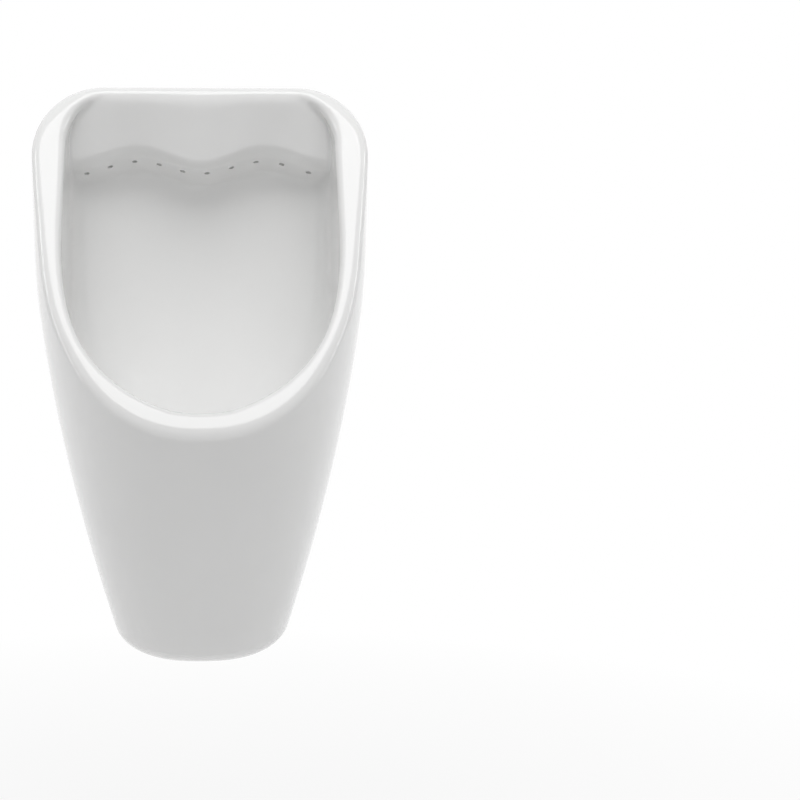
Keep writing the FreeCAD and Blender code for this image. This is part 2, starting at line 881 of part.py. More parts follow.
def main():
    nodes = {"ceramic_body": ceramic_body()}
    for name, side in sides.items():
        for piece, shape in wall_fixing(side * fixing_spacing / 2).items():
            nodes[piece + "_" + name] = shape
    for group in (water_inlet(), waste_fitting(), strainer(), bottle_trap(), waste_outlet()):
        nodes.update(group)
    os.makedirs("parts", exist_ok=True)
    for name, shape in nodes.items():
        shape.exportStep("parts/" + name + ".step")


main()
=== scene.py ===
import math
import bmesh
import bpy
import numpy as np
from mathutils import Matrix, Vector


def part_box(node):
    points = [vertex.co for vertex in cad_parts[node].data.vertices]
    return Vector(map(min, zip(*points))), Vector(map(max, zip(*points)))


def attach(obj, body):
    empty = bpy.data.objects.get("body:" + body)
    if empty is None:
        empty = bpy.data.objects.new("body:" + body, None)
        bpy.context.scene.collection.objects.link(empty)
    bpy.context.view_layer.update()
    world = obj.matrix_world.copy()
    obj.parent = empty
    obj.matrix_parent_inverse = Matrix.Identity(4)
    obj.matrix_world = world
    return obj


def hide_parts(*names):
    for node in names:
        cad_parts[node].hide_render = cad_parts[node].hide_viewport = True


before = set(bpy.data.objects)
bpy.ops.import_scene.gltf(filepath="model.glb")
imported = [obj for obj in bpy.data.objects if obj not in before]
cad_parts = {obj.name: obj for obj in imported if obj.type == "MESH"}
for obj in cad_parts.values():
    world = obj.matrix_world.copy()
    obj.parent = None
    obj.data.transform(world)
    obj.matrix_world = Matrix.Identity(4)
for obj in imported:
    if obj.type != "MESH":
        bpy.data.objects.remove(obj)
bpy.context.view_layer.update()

mm = 0.001


# Small tools for meshes

def placeMesh(name, verts, faces, material):
    mesh = bpy.data.meshes.new(name)
    mesh.from_pydata([tuple(v) for v in verts], [], [tuple(f) for f in faces])
    work = bmesh.new()
    work.from_mesh(mesh)
    bmesh.ops.remove_doubles(work, verts=work.verts, dist=1e-6)
    bmesh.ops.recalc_face_normals(work, faces=work.faces)
    work.to_mesh(mesh)
    work.free()
    mesh.materials.append(material)
    mesh.shade_smooth()
    mesh.set_sharp_from_angle(angle=math.radians(38))
    piece = bpy.data.objects.new(name, mesh)
    bpy.context.scene.collection.objects.link(piece)
    return piece


def turnedRings(profile, centre, axis, segments):  # a closed profile of (radius, along), turned
    centre, axis = Vector(centre), Vector(axis)
    side = axis.orthogonal().normalized()
    turn = axis.cross(side)
    verts = []
    for radius, along in profile:
        for k in range(segments):
            angle = math.tau * k / segments
            verts.append(centre + axis * along + radius * (side * math.cos(angle) + turn * math.sin(angle)))
    faces = []
    count = len(profile)
    for i in range(count):
        j = (i + 1) % count
        if profile[i][0] == 0 and profile[j][0] == 0:  # the axis itself needs no faces
            continue
        for k in range(segments):
            m = (k + 1) % segments
            faces.append((i * segments + k, i * segments + m, j * segments + m, j * segments + k))
    return verts, faces


def turnedPiece(name, profile, centre, axis, material, segments=64):  # the profile in millimetres
    verts, faces = turnedRings([(r * mm, a * mm) for r, a in profile], centre, axis, segments)
    return placeMesh(name, verts, faces, material)


def arcPoints(centre, radius, start, end, steps):  # degrees, in the (radius, along) plane
    angles = [math.radians(start + (end - start) * i / steps) for i in range(steps + 1)]
    return [(centre[0] + radius * math.cos(a), centre[1] + radius * math.sin(a)) for a in angles]


def domePoints(radius, foot, rise, steps):  # from the side of a dome to its crown
    angles = [math.pi / 2 * i / steps for i in range(steps)]
    return [(radius * math.cos(a), foot + rise * math.sin(a)) for a in angles] + [(0, foot + rise)]


def blockPiece(name, low, high, material):
    verts = [(x, y, z) for x in (low[0], high[0]) for y in (low[1], high[1]) for z in (low[2], high[2])]
    faces = [(0, 1, 3, 2), (4, 6, 7, 5), (0, 4, 5, 1), (2, 3, 7, 6), (0, 2, 6, 4), (1, 5, 7, 3)]
    return placeMesh(name, verts, faces, material)


def combine(piece, tool, way="DIFFERENCE"):  # cuts, joins or keeps the overlap, and deletes the tool
    cut = piece.modifiers.new("cut", "BOOLEAN")
    cut.operation = way
    cut.solver = "MANIFOLD"
    cut.object = tool
    settle(piece)
    bpy.data.objects.remove(tool)


def settle(piece):  # turns what the modifiers make into the piece's own mesh
    view = bpy.context.evaluated_depsgraph_get()
    view.update()
    done = bpy.data.meshes.new_from_object(piece.evaluated_get(view))
    piece.modifiers.clear()
    piece.data = done


def finishPiece(piece, body, nodes):
    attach(piece, body)
    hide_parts(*nodes)


# Geometry node trees

def newTree(name, sizes):  # one named input for each size
    tree = bpy.data.node_groups.new(name, "GeometryNodeTree")
    tree.interface.new_socket("Geometry", in_out="INPUT", socket_type="NodeSocketGeometry")
    for label, value in sizes.items():
        kind = "NodeSocketInt" if isinstance(value, int) else "NodeSocketFloat"
        tree.interface.new_socket(label, in_out="INPUT", socket_type=kind)
    tree.interface.new_socket("Geometry", in_out="OUTPUT", socket_type="NodeSocketGeometry")
    return tree, tree.nodes.new("NodeGroupInput").outputs, tree.nodes.new("NodeGroupOutput").inputs


def addNode(tree, kind, links, **settings):  # a node with its inputs linked or set, by name
    node = tree.nodes.new(kind)
    for setting, value in settings.items():
        setattr(node, setting, value)
    for socket, source in links.items():
        if isinstance(source, bpy.types.NodeSocket):
            tree.links.new(source, node.inputs[socket])
        else:
            node.inputs[socket].default_value = source
    return node


def growTree(piece, tree, sizes):  # runs the tree on the piece and keeps the result as its mesh
    work = piece.modifiers.new(tree.name, "NODES")
    work.node_group = tree
    for item in tree.interface.items_tree:
        if item.in_out == "INPUT" and item.name in sizes:
            work[item.identifier] = sizes[item.name]
    settle(piece)


# Node materials

def newMaterial(name):
    material = bpy.data.materials.new(name)
    material.use_nodes = True
    tree = material.node_tree
    shader = tree.nodes["Principled BSDF"]
    place = tree.nodes.new("ShaderNodeTexCoord")
    return material, tree, shader, place.outputs["Object"]


def noiseOn(tree, place, scale, detail=2.0, roughness=0.5):
    noise = tree.nodes.new("ShaderNodeTexNoise")
    noise.inputs["Scale"].default_value = scale
    noise.inputs["Detail"].default_value = detail
    noise.inputs["Roughness"].default_value = roughness
    tree.links.new(place, noise.inputs["Vector"])
    return noise.outputs["Fac"]


def spread(tree, source, low, high, fromLow=0.3, fromHigh=0.7):
    ranged = tree.nodes.new("ShaderNodeMapRange")
    ranged.inputs["From Min"].default_value = fromLow
    ranged.inputs["From Max"].default_value = fromHigh
    ranged.inputs["To Min"].default_value = low
    ranged.inputs["To Max"].default_value = high
    tree.links.new(source, ranged.inputs["Value"])
    return ranged.outputs["Result"]


def tint(tree, source, dark, light, fromLow=0.3, fromHigh=0.7):
    ramp = tree.nodes.new("ShaderNodeValToRGB")
    ramp.color_ramp.elements[0].position = fromLow
    ramp.color_ramp.elements[0].color = (*dark, 1)
    ramp.color_ramp.elements[1].position = fromHigh
    ramp.color_ramp.elements[1].color = (*light, 1)
    tree.links.new(source, ramp.inputs["Fac"])
    return ramp.outputs["Color"]


def relief(tree, shader, source, strength, distance):
    bump = tree.nodes.new("ShaderNodeBump")
    bump.inputs["Strength"].default_value = strength
    bump.inputs["Distance"].default_value = distance
    tree.links.new(source, bump.inputs["Height"])
    tree.links.new(bump.outputs["Normal"], shader.inputs["Normal"])


def makeGlaze():  # white glaze over china: deep gloss with a faint ripple where it pooled in the kiln
    glaze = {"dark": (0.865, 0.865, 0.86), "light": (0.89, 0.89, 0.885), "ripple": 14, "mottle": 5}
    material, tree, shader, place = newMaterial("white_glaze")
    tree.links.new(tint(tree, noiseOn(tree, place, glaze["mottle"], 3), glaze["dark"], glaze["light"]),
                   shader.inputs["Base Color"])
    tree.links.new(spread(tree, noiseOn(tree, place, 60, 4), 0.05, 0.085), shader.inputs["Roughness"])
    shader.inputs["IOR"].default_value = 1.52
    relief(tree, shader, noiseOn(tree, place, glaze["ripple"], 1.5), 0.05, 0.004)
    return material


def makeBiscuit():  # bare fired clay where the glaze was wiped off
    clay = {"dark": (0.66, 0.63, 0.58), "light": (0.77, 0.75, 0.71)}
    material, tree, shader, place = newMaterial("bare_china")
    tree.links.new(tint(tree, noiseOn(tree, place, 45, 6, 0.65), clay["dark"], clay["light"]),
                   shader.inputs["Base Color"])
    tree.links.new(spread(tree, noiseOn(tree, place, 300, 3), 0.6, 0.85), shader.inputs["Roughness"])
    relief(tree, shader, noiseOn(tree, place, 900, 4, 0.7), 0.25, 0.0006)
    return material


def makeMoulded(name, dark, light, gloss):  # moulded plastic: even colour, fine spark texture
    material, tree, shader, place = newMaterial(name)
    tree.links.new(tint(tree, noiseOn(tree, place, 30, 2), dark, light), shader.inputs["Base Color"])
    tree.links.new(spread(tree, noiseOn(tree, place, 420, 3), gloss, gloss + 0.12),
                   shader.inputs["Roughness"])
    relief(tree, shader, noiseOn(tree, place, 1800, 2), 0.08, 0.0003)
    return material


def makeMetal(name, dark, light, gloss, stretch):  # turned or drawn metal: fine lines along one way
    material, tree, shader, place = newMaterial(name)
    lines = tree.nodes.new("ShaderNodeMapping")
    lines.inputs["Scale"].default_value = stretch
    tree.links.new(place, lines.inputs["Vector"])
    grain = noiseOn(tree, lines.outputs["Vector"], 60, 5, 0.6)
    tree.links.new(tint(tree, noiseOn(tree, place, 40, 4), dark, light), shader.inputs["Base Color"])
    tree.links.new(spread(tree, grain, gloss, gloss + 0.12), shader.inputs["Roughness"])
    shader.inputs["Metallic"].default_value = 1
    relief(tree, shader, grain, 0.05, 0.0003)
    return material


def makeRubber():
    material, tree, shader, place = newMaterial("black_rubber")
    tree.links.new(tint(tree, noiseOn(tree, place, 60, 4), (0.018, 0.018, 0.019), (0.035, 0.035, 0.036)),
                   shader.inputs["Base Color"])
    tree.links.new(spread(tree, noiseOn(tree, place, 350, 3), 0.5, 0.72), shader.inputs["Roughness"])
    relief(tree, shader, noiseOn(tree, place, 1200, 3), 0.2, 0.0004)
    return material


whiteGlaze = makeGlaze()
bareChina = makeBiscuit()
capWhite = makeMoulded("cap_white", (0.80, 0.80, 0.79), (0.84, 0.84, 0.83), 0.16)
trapWhite = makeMoulded("trap_white", (0.70, 0.70, 0.69), (0.77, 0.77, 0.76), 0.28)
plugGrey = makeMoulded("plug_grey", (0.23, 0.24, 0.25), (0.31, 0.32, 0.33), 0.42)
zincSteel = makeMetal("zinc_steel", (0.52, 0.53, 0.54), (0.66, 0.67, 0.66), 0.26, (1, 6, 1))
brightChrome = makeMetal("bright_chrome", (0.74, 0.75, 0.76), (0.82, 0.83, 0.84), 0.06, (1, 1, 5))
turnedBrass = makeMetal("turned_brass", (0.62, 0.42, 0.18), (0.75, 0.54, 0.26), 0.2, (1, 1, 6))
blackRubber = makeRubber()
print("materials made")


# The casting, as one field that is negative inside the china.
# All in millimetres: x across, d out from the wall, h above the foot.

bodyLow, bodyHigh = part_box("ceramic_body")
china = {
    "height": (bodyHigh.z - bodyLow.z) / mm, "halfWidth": bodyHigh.x / mm, "lipDepth": -bodyLow.y / mm,
    "footHalfWidth": 86, "footDepth": 130, "widestHeight": 450, "lipHeight": 250, "rimTopDepth": 105,
    "sweepPower": 1.7, "frontBulge": 5, "rimSag": 6, "lowRoundness": 2.35, "highRoundness": 2.0,
    "roundFrom": 340, "roundTo": 450, "topCorner": 70, "footEdge": 18, "rimEdge": 7.5, "browEdge": 14,
    "browFrom": 500, "browTo": 556, "wallEdge": 3.5, "topBackEdge": 12, "topBackFrom": 480, "topBackTo": 545,
    "innerEdge": 8, "innerBrowEdge": 14, "innerBrowFrom": 490, "innerBrowTo": 550, "step": 3.1,
    "bareReach": 0.5,
}
bowl = {
    "halfWidth": 127.5, "fullHeight": 380, "top": 553, "topCorner": 50, "back": 42, "backFullHeight": 440,
    "lipHeight": 269.5, "lipWall": 27, "sidePower": 3.2, "floorPower": 0.6, "centreShare": 0.4,
    "frontPower": 1.95, "backPower": 2.1, "backSquare": 9, "squareFrom": 230, "squareTo": 420,
    "floor": 200, "floorHalfWidth": 42, "floorFront": 162, "floorBack": 78, "floorEdge": 12,
}
ledge = {
    "height": 491, "wave": 6.5, "waveLength": 125, "depth": 80, "nose": 8, "noseSpread": 45, "rise": 17,
    "edge": 6.5, "root": 4,
}
pocket = {
    "back": 18, "front": 66, "low": 247, "high": 324, "inner": 90, "frontDraft": 13, "lowDraft": 20,
    "highDraft": 5, "corner": 9, "endCorner": 14, "mouthEdge": 5,
}
hollow = {
    "wall": 12, "topWall": 22, "rimWall": 18, "bowlWall": 11, "pocketWall": 9, "ledgeFoot": 467,
    "ledgeBack": 10, "bossRadius": 44, "bossHeight": 186, "bossDepth": 120, "corner": 6, "past": 12,
    "step": 6.0, "bareReach": 0.8,
}


def roundMax(a, b, radius):  # both at once, with a rounded edge between them
    outside = np.hypot(np.maximum(a + radius, 0), np.maximum(b + radius, 0))
    return np.minimum(np.maximum(a, b), -radius) + outside


def ease(value, start, end):
    share = np.clip((value - start) / (end - start), 0, 1)
    return share * share * (3 - 2 * share)


def inMillimetres(shape, x, d, h, nudge=0.05):  # a shape's level divided by its slope
    level = shape(x, d, h)
    slope = [shape(x + nudge, d, h), shape(x, d + nudge, h), shape(x, d, h + nudge)]
    steepness = np.sqrt(sum(((s - level) / nudge) ** 2 for s in slope) + 1e-12)
    return level / steepness


def bodyDepth(h):
    share = h / china["lipHeight"]
    reach = china["lipDepth"] - china["footDepth"]
    return china["footDepth"] + reach * share + 4 * china["frontBulge"] * share * (1 - share)


def bodySide(x, d, h):
    below = np.clip((china["widestHeight"] - h) / china["widestHeight"], 0, 1.1)
    taper = china["halfWidth"] - china["footHalfWidth"]
    width = china["halfWidth"] - taper * below ** china["sweepPower"]
    change = ease(h, china["roundFrom"], china["roundTo"])
    power = china["lowRoundness"] + (china["highRoundness"] - china["lowRoundness"]) * change
    across = np.abs(x) / width
    out = np.maximum(d, 0) / bodyDepth(h)
    return (across ** power + out ** power) ** (1 / power) - 1


def rimSide(d, h):  # the sloping front plane of the rim, a little hollow along its length
    run, rise = china["lipDepth"] - china["rimTopDepth"], china["height"] - china["lipHeight"]
    length = math.hypot(run, rise)
    share = (rise * (h - china["lipHeight"]) - run * (d - china["lipDepth"])) / length ** 2
    out = (rise * (d - china["lipDepth"]) + run * (h - china["lipHeight"])) / length
    return out + 4 * china["rimSag"] * share * (1 - share)


def bodyField(x, d, h):
    side = inMillimetres(bodySide, x, d, h)
    form = roundMax(side, h - china["height"], china["topCorner"])
    form = roundMax(form, -h, china["footEdge"])
    change = ease(h, china["browFrom"], china["browTo"])
    rimEdge = china["rimEdge"] + (china["browEdge"] - china["rimEdge"]) * change
    form = roundMax(form, rimSide(d, h), rimEdge)
    change = ease(h, china["topBackFrom"], china["topBackTo"])
    wallEdge = china["wallEdge"] + (china["topBackEdge"] - china["wallEdge"]) * change
    return roundMax(form, -d, wallEdge)


def bowlSide(x, d, h):
    h = np.maximum(h, bowl["floor"])
    fill = np.clip((bowl["fullHeight"] - h) / (bowl["fullHeight"] - bowl["floor"]), 0, 1)
    width = bowl["halfWidth"] - (bowl["halfWidth"] - bowl["floorHalfWidth"]) * fill ** bowl["sidePower"]
    lipFront = bodyDepth(bowl["lipHeight"]) - bowl["lipWall"]
    climb = np.clip((h - bowl["floor"]) / (bowl["lipHeight"] - bowl["floor"]), 0, 1)
    low = bowl["floorFront"] + (lipFront - bowl["floorFront"]) * climb ** bowl["floorPower"]
    front = np.where(h < bowl["lipHeight"], low, bodyDepth(h) - bowl["lipWall"])
    drop = np.clip((bowl["backFullHeight"] - h) / (bowl["backFullHeight"] - bowl["floor"]), 0, 1)
    rear = bowl["back"] + (bowl["floorBack"] - bowl["back"]) * drop ** 2
    centre = rear + (front - rear) * bowl["centreShare"]
    square = ease(h, bowl["squareFrom"], bowl["squareTo"])
    backPower = bowl["backPower"] + (bowl["backSquare"] - bowl["backPower"]) * square
    forward = d > centre
    power = np.where(forward, bowl["frontPower"], backPower)
    reach = np.where(forward, front - centre, centre - rear)
    return ((np.abs(x) / width) ** power + (np.abs(d - centre) / reach) ** power) ** (1 / power) - 1


def ledgeField(x, d, h):  # the brow and its wavy lower edge, which carries the flush holes
    edge = ledge["height"] - ledge["wave"] * np.cos(math.tau * x / ledge["waveLength"])
    depth = ledge["depth"] + ledge["nose"] * np.exp(-(x / ledge["noseSpread"]) ** 2)
    lean = (china["rimTopDepth"] - depth) / (bowl["top"] - edge)
    brow = (d - depth - (h - edge) * lean) / np.sqrt(1 + lean ** 2)
    slope = ledge["rise"] / (depth - bowl["back"])
    under = (edge - (depth - d) * slope - h) / np.sqrt(1 + slope ** 2)
    return roundMax(brow, under, ledge["edge"])


def bowlField(x, d, h):
    space = inMillimetres(bowlSide, x, d, h)
    space = roundMax(space, bowl["floor"] - h, bowl["floorEdge"])
    return roundMax(space, h - bowl["top"], bowl["topCorner"])


def pocketField(x, d, h):
    into = np.clip((china["halfWidth"] - np.abs(x)) / (china["halfWidth"] - pocket["inner"]), 0, 1)
    front = pocket["front"] - pocket["frontDraft"] * into
    low = pocket["low"] + pocket["lowDraft"] * into
    high = pocket["high"] - pocket["highDraft"] * into
    middle, half = (low + high) / 2, (high - low) / 2
    reach = front - pocket["back"] - pocket["corner"]
    round2d = np.hypot((d - pocket["back"] - pocket["corner"]) / reach, (h - middle) / half)
    side = (round2d - 1) * np.minimum(reach, half)
    space = roundMax(side, pocket["back"] - d, pocket["corner"])
    return roundMax(space, pocket["inner"] - np.abs(x), pocket["endCorner"])


def chinaField(x, d, h):
    space = roundMax(bowlField(x, d, h), -ledgeField(x, d, h), ledge["root"])
    change = ease(h, china["innerBrowFrom"], china["innerBrowTo"])
    innerEdge = china["innerEdge"] + (china["innerBrowEdge"] - china["innerEdge"]) * change
    form = roundMax(bodyField(x, d, h), -space, innerEdge)
    return roundMax(form, -pocketField(x, d, h), pocket["mouthEdge"])


def hollowField(x, d, h):  # the open back behind the bowl
    corner = hollow["corner"]
    side = inMillimetres(bodySide, x, d, h) + hollow["wall"]
    space = roundMax(side, rimSide(d, h) + hollow["rimWall"], corner)
    space = roundMax(space, h - china["height"] + hollow["topWall"], china["topCorner"] - hollow["wall"])
    space = roundMax(space, hollow["wall"] - h, corner)
    space = roundMax(space, -d - hollow["past"], 0.1)
    space = roundMax(space, hollow["bowlWall"] - bowlField(x, d, h), corner)
    behindLedge = np.maximum(hollow["ledgeFoot"] - h, hollow["ledgeBack"] - d)
    space = roundMax(space, -behindLedge, corner)
    boss = np.maximum(np.hypot(x, d - hollow["bossDepth"]) - hollow["bossRadius"], hollow["bossHeight"] - h)
    space = roundMax(space, -boss, corner)
    return roundMax(space, hollow["pocketWall"] - pocketField(x, d, h), corner)


def surfaceNet(field, lowest, highest, step):  # even quads over the zero level, the same left and right
    halfCount = int(highest[0] / step) + 2
    across = (np.arange(halfCount) + 0.5) * step
    out = np.arange(lowest[1] - 2 * step, highest[1] + 2 * step, step)
    up = np.arange(lowest[2] - 2 * step, highest[2] + 2 * step, step)
    x, d, h = np.meshgrid(across, out, up, indexing="ij")
    half = field(x, d, h)
    level = np.concatenate([half[::-1], half])
    origin = np.array([-across[-1], out[0], up[0]])
    inside = level < 0
    size = np.array(level.shape) - 1
    corners = [np.array(c) for c in np.ndindex(2, 2, 2)]
    filled = sum(inside[c[0]:size[0] + c[0], c[1]:size[1] + c[1], c[2]:size[2] + c[2]].astype(np.int8)
                 for c in corners)
    active = (filled > 0) & (filled < 8)
    cells = np.argwhere(active)
    number = np.full(active.shape, -1)
    number[active] = np.arange(len(cells))
    total, hits = np.zeros((len(cells), 3)), np.zeros(len(cells))
    for a in corners:
        for b in corners:
            if (b - a).sum() != 1 or (b - a).min() < 0:
                continue
            levelA, levelB = level[tuple((cells + a).T)], level[tuple((cells + b).T)]
            crossed = (levelA < 0) != (levelB < 0)
            share = np.where(crossed, levelA / np.where(crossed, levelA - levelB, 1), 0)
            total += np.where(crossed[:, None], a + share[:, None] * (b - a), 0)
            hits += crossed
    points = origin + step * (cells + total / hits[:, None])
    quads = []
    for axis in range(3):
        second, third = (axis + 1) % 3, (axis + 2) % 3
        ahead = np.roll(inside, -1, axis)
        edges = np.argwhere(inside != ahead)
        edges = edges[edges[:, axis] < level.shape[axis] - 1]
        e2, e3 = np.eye(3, dtype=int)[second], np.eye(3, dtype=int)[third]
        ring = [number[tuple((edges - s * e2 - t * e3).T)] for s, t in ((0, 0), (1, 0), (1, 1), (0, 1))]
        ring = np.stack(ring, 1)
        flip = inside[tuple(edges.T)]
        ring[flip] = ring[flip][:, ::-1]
        quads.append(ring)
    return points, np.concatenate(quads)


def ontoSurface(field, points, rounds=2, nudge=0.05):
    for _ in range(rounds):
        level = field(*points.T)
        slope = np.stack([(field(*(points + shift).T) - field(*(points - shift).T)) / (2 * nudge)
                          for shift in np.eye(3) * nudge], 1)
        move = level[:, None] * slope / np.maximum((slope ** 2).sum(1), 0.2)[:, None]
        points = points - np.clip(move, -3, 3)
    return points


def evenOut(points, quads):  # each point moves to the middle of its neighbours
    total, count = np.zeros_like(points), np.zeros(len(points))
    for k in range(4):
        a, b = quads[:, k], quads[:, (k + 1) % 4]
        for i, j in ((a, b), (b, a)):
            np.add.at(total, i, points[j])
            np.add.at(count, i, 1)
    return total / count[:, None]


def fieldPiece(name, field, lowest, highest, step, material, rounds=3):
    points, quads = surfaceNet(field, lowest, highest, step)
    for _ in range(rounds):
        points = ontoSurface(field, 0.4 * points + 0.6 * evenOut(points, quads))
    points = ontoSurface(field, points)
    verts = points * (mm, -mm, mm) + (0, 0, bodyLow.z)
    print(name, "net:", len(verts), "points,", len(quads), "quads")
    return placeMesh(name, verts, quads, material)


def pinCutter(x, d, h, radius, length, axis, segments=48):
    profile = [(0, 0), (radius, 0), (radius, length), (0, length)]
    return turnedPiece("cutter", profile, (x * mm, -d * mm, bodyLow.z + h * mm), axis, bareChina, segments)


reachOut = (china["halfWidth"], china["lipDepth"], china["height"])
casting = fieldPiece("urinal_body", chinaField, (0, 0, 0), reachOut, china["step"], whiteGlaze)
casting.data.materials.append(bareChina)
backSpace = fieldPiece("back_space", hollowField, (0, -hollow["past"], 0), reachOut, hollow["step"],
                       bareChina)
combine(casting, backSpace)
holes = {
    "bolt": 7.3, "boltSpacing": 236, "boltHeight": 293, "boltLength": 24, "drain": 22.5, "drainDepth": 120,
    "drainFoot": 170, "drainLength": 40, "inlet": 20, "inletHeight": 512, "inletBack": -5,
    "inletLength": 45,
}
for side in (-1, 1):
    x = side * holes["boltSpacing"] / 2
    combine(casting, pinCutter(x, 0, holes["boltHeight"], holes["bolt"], holes["boltLength"], (0, -1, 0)))
combine(casting, pinCutter(0, holes["drainDepth"], holes["drainFoot"], holes["drain"], holes["drainLength"],
                           (0, 0, 1)))
combine(casting, pinCutter(0, holes["inletBack"], holes["inletHeight"], holes["inlet"],
                           holes["inletLength"], (0, -1, 0)))

# The flush holes, drilled up into the wavy edge

spray = {
    "shares": (-0.88, -0.7, -0.51, -0.32, -0.14, 0.05, 0.24, 0.43, 0.63, 0.84),  # of the half width
    "radius": 2.7 * mm, "depth": 16.0 * mm, "sides": 20, "tilt": 66, "backFromEdge": 16.0, "belowEdge": 7.0,
}


def drillBits(name, points, sizes, material):  # one rod at each point, all leaning the same way
    mesh = bpy.data.meshes.new(name)
    mesh.from_pydata([tuple(p) for p in points], [], [])
    drills = bpy.data.objects.new(name, mesh)
    bpy.context.scene.collection.objects.link(drills)
    tree, given, result = newTree(name, sizes)
    rod = addNode(tree, "GeometryNodeMeshCylinder", {"Vertices": given["Sides"], "Radius": given["Radius"],
                                                     "Depth": given["Depth"]})
    lean = addNode(tree, "ShaderNodeCombineXYZ", {"X": given["Tilt"]})
    drill = addNode(tree, "GeometryNodeInstanceOnPoints", {
        "Points": given["Geometry"], "Instance": rod.outputs["Mesh"], "Rotation": lean.outputs["Vector"]})
    real = addNode(tree, "GeometryNodeRealizeInstances", {"Geometry": drill.outputs["Instances"]})
    solid = real.outputs["Geometry"]
    clad = addNode(tree, "GeometryNodeSetMaterial", {"Geometry": solid, "Material": material})
    tree.links.new(clad.outputs["Geometry"], result["Geometry"])
    growTree(drills, tree, sizes)
    return drills


def sprayDrills():
    x = np.array(spray["shares"]) * bowl["halfWidth"]
    edge = ledge["height"] - ledge["wave"] * np.cos(math.tau * x / ledge["waveLength"])
    depth = ledge["depth"] + ledge["nose"] * np.exp(-(x / ledge["noseSpread"]) ** 2) - spray["backFromEdge"]
    points = ontoSurface(chinaField, np.stack([x, depth, edge - spray["belowEdge"]], 1), 6)
    points = points * (mm, -mm, mm) + (0, 0, bodyLow.z)
    return drillBits("spray_drills", points, {
        "Radius": spray["radius"], "Depth": spray["depth"], "Sides": spray["sides"],
        "Tilt": math.radians(spray["tilt"] - 90)}, whiteGlaze)


combine(casting, sprayDrills())
faceX, faceY, faceZ = np.array([face.center for face in casting.data.polygons]).T / mm
inBack = hollowField(faceX, -faceY, faceZ - bodyLow.z / mm) < hollow["bareReach"]
bare = inBack | (faceY > -china["bareReach"])  # no glaze in the hollow back or at the wall
casting.data.polygons.foreach_set("material_index", bare.astype(np.int32))
print("casting cut:", len(casting.data.polygons), "faces,", int(bare.sum()), "of them bare")
finishPiece(casting, "root", ["ceramic_body"])


# Bolt caps, pushed on over the nuts

cap = {
    "outer": 12.7, "barrel": 12.3, "wall": 1.5, "lip": 1.7, "lipSlope": 0.5, "straight": 7, "length": 21.5,
    "steps": 18, "edgeSteps": 8, "segments": 72,
}


def boltCap(side):
    node = "bolt_cap_" + side
    low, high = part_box(node)
    mouth = ((low.x + high.x) / 2, high.y, (low.z + high.z) / 2)
    half, inner = cap["wall"] / 2, cap["outer"] - cap["wall"]
    rise = cap["length"] - cap["straight"]
    edge = arcPoints((inner + half, half), half, 180, 360, cap["edgeSteps"])
    lip = [(cap["outer"], cap["lip"]), (cap["barrel"], cap["lip"] + cap["lipSlope"])]
    shell = domePoints(cap["barrel"], cap["straight"], rise, cap["steps"])
    lining = domePoints(inner, cap["straight"], rise - cap["wall"], cap["steps"])
    profile = edge + lip + shell + lining[::-1]
    piece = turnedPiece(node + "_shell", profile, mouth, (0, -1, 0), capWhite, cap["segments"])
    finishPiece(piece, "cap_" + side, [node])


# Hanger bolt, nut and ribbed plug on each side

bolt = {"radius": 4, "root": 3.4, "pitch": 1.25, "threadFrom": 18, "pointLength": 6, "segments": 40}
nut = {"flats": 13, "bore": 4.2, "chamferRadius": 6.2, "chamfer": 0.75, "overrun": 1, "cornerRoom": 0.1}
plug = {
    "radius": 6, "ribRoot": 5.4, "ribs": 9, "ribPitch": 4, "ribFrom": 4, "ribStep": 0.2, "noseRadius": 4.8,
    "nose": 8, "bore": 4.2, "slit": 1.2, "slitFrom": 12, "slitPast": 5, "slitReach": 8, "segments": 48,
}


def hangerBolt(side):
    node = "hanger_bolt_" + side
    low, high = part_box(node)
    foot = ((low.x + high.x) / 2, 0, (low.z + high.z) / 2)
    deep, tip = -high.y / mm, -low.y / mm
    profile = [(0, deep), (bolt["radius"], deep + bolt["pointLength"])]
    profile.append((bolt["radius"], bolt["threadFrom"]))
    turns = int((tip - bolt["threadFrom"]) / bolt["pitch"])
    for i in range(turns):
        along = bolt["threadFrom"] + bolt["pitch"] * i
        profile += [(bolt["root"], along + bolt["pitch"] / 2), (bolt["radius"], along + bolt["pitch"])]
    profile += [(bolt["root"], tip), (0, tip)]
    piece = turnedPiece(node + "_rod", profile, foot, (0, -1, 0), zincSteel, bolt["segments"])
    finishPiece(piece, "root", [node])


def boltNut(side):
    node = "bolt_nut_" + side
    low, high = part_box(node)
    base = ((low.x + high.x) / 2, high.y, (low.z + high.z) / 2)
    length = (high.y - low.y) / mm
    corner = nut["flats"] / math.sqrt(3)
    hexagon = [(0, 0), (corner, 0), (corner, length), (0, length)]
    piece = turnedPiece(node + "_hex", hexagon, base, (0, -1, 0), zincSteel, 6)
    small, large, chamfer = nut["chamferRadius"], corner + nut["cornerRoom"], nut["chamfer"]
    rounded = [(0, 0), (small, 0), (large, chamfer), (large, length - chamfer), (small, length), (0, length)]
    combine(piece, turnedPiece("limit", rounded, base, (0, -1, 0), zincSteel, 60), "INTERSECT")
    start, end = -nut["overrun"], length + nut["overrun"]
    bored = [(0, start), (nut["bore"], start), (nut["bore"], end), (0, end)]
    combine(piece, turnedPiece("bore", bored, base, (0, -1, 0), zincSteel, bolt["segments"]))
    piece.data.set_sharp_from_angle(angle=math.radians(30))
    finishPiece(piece, "root", [node])


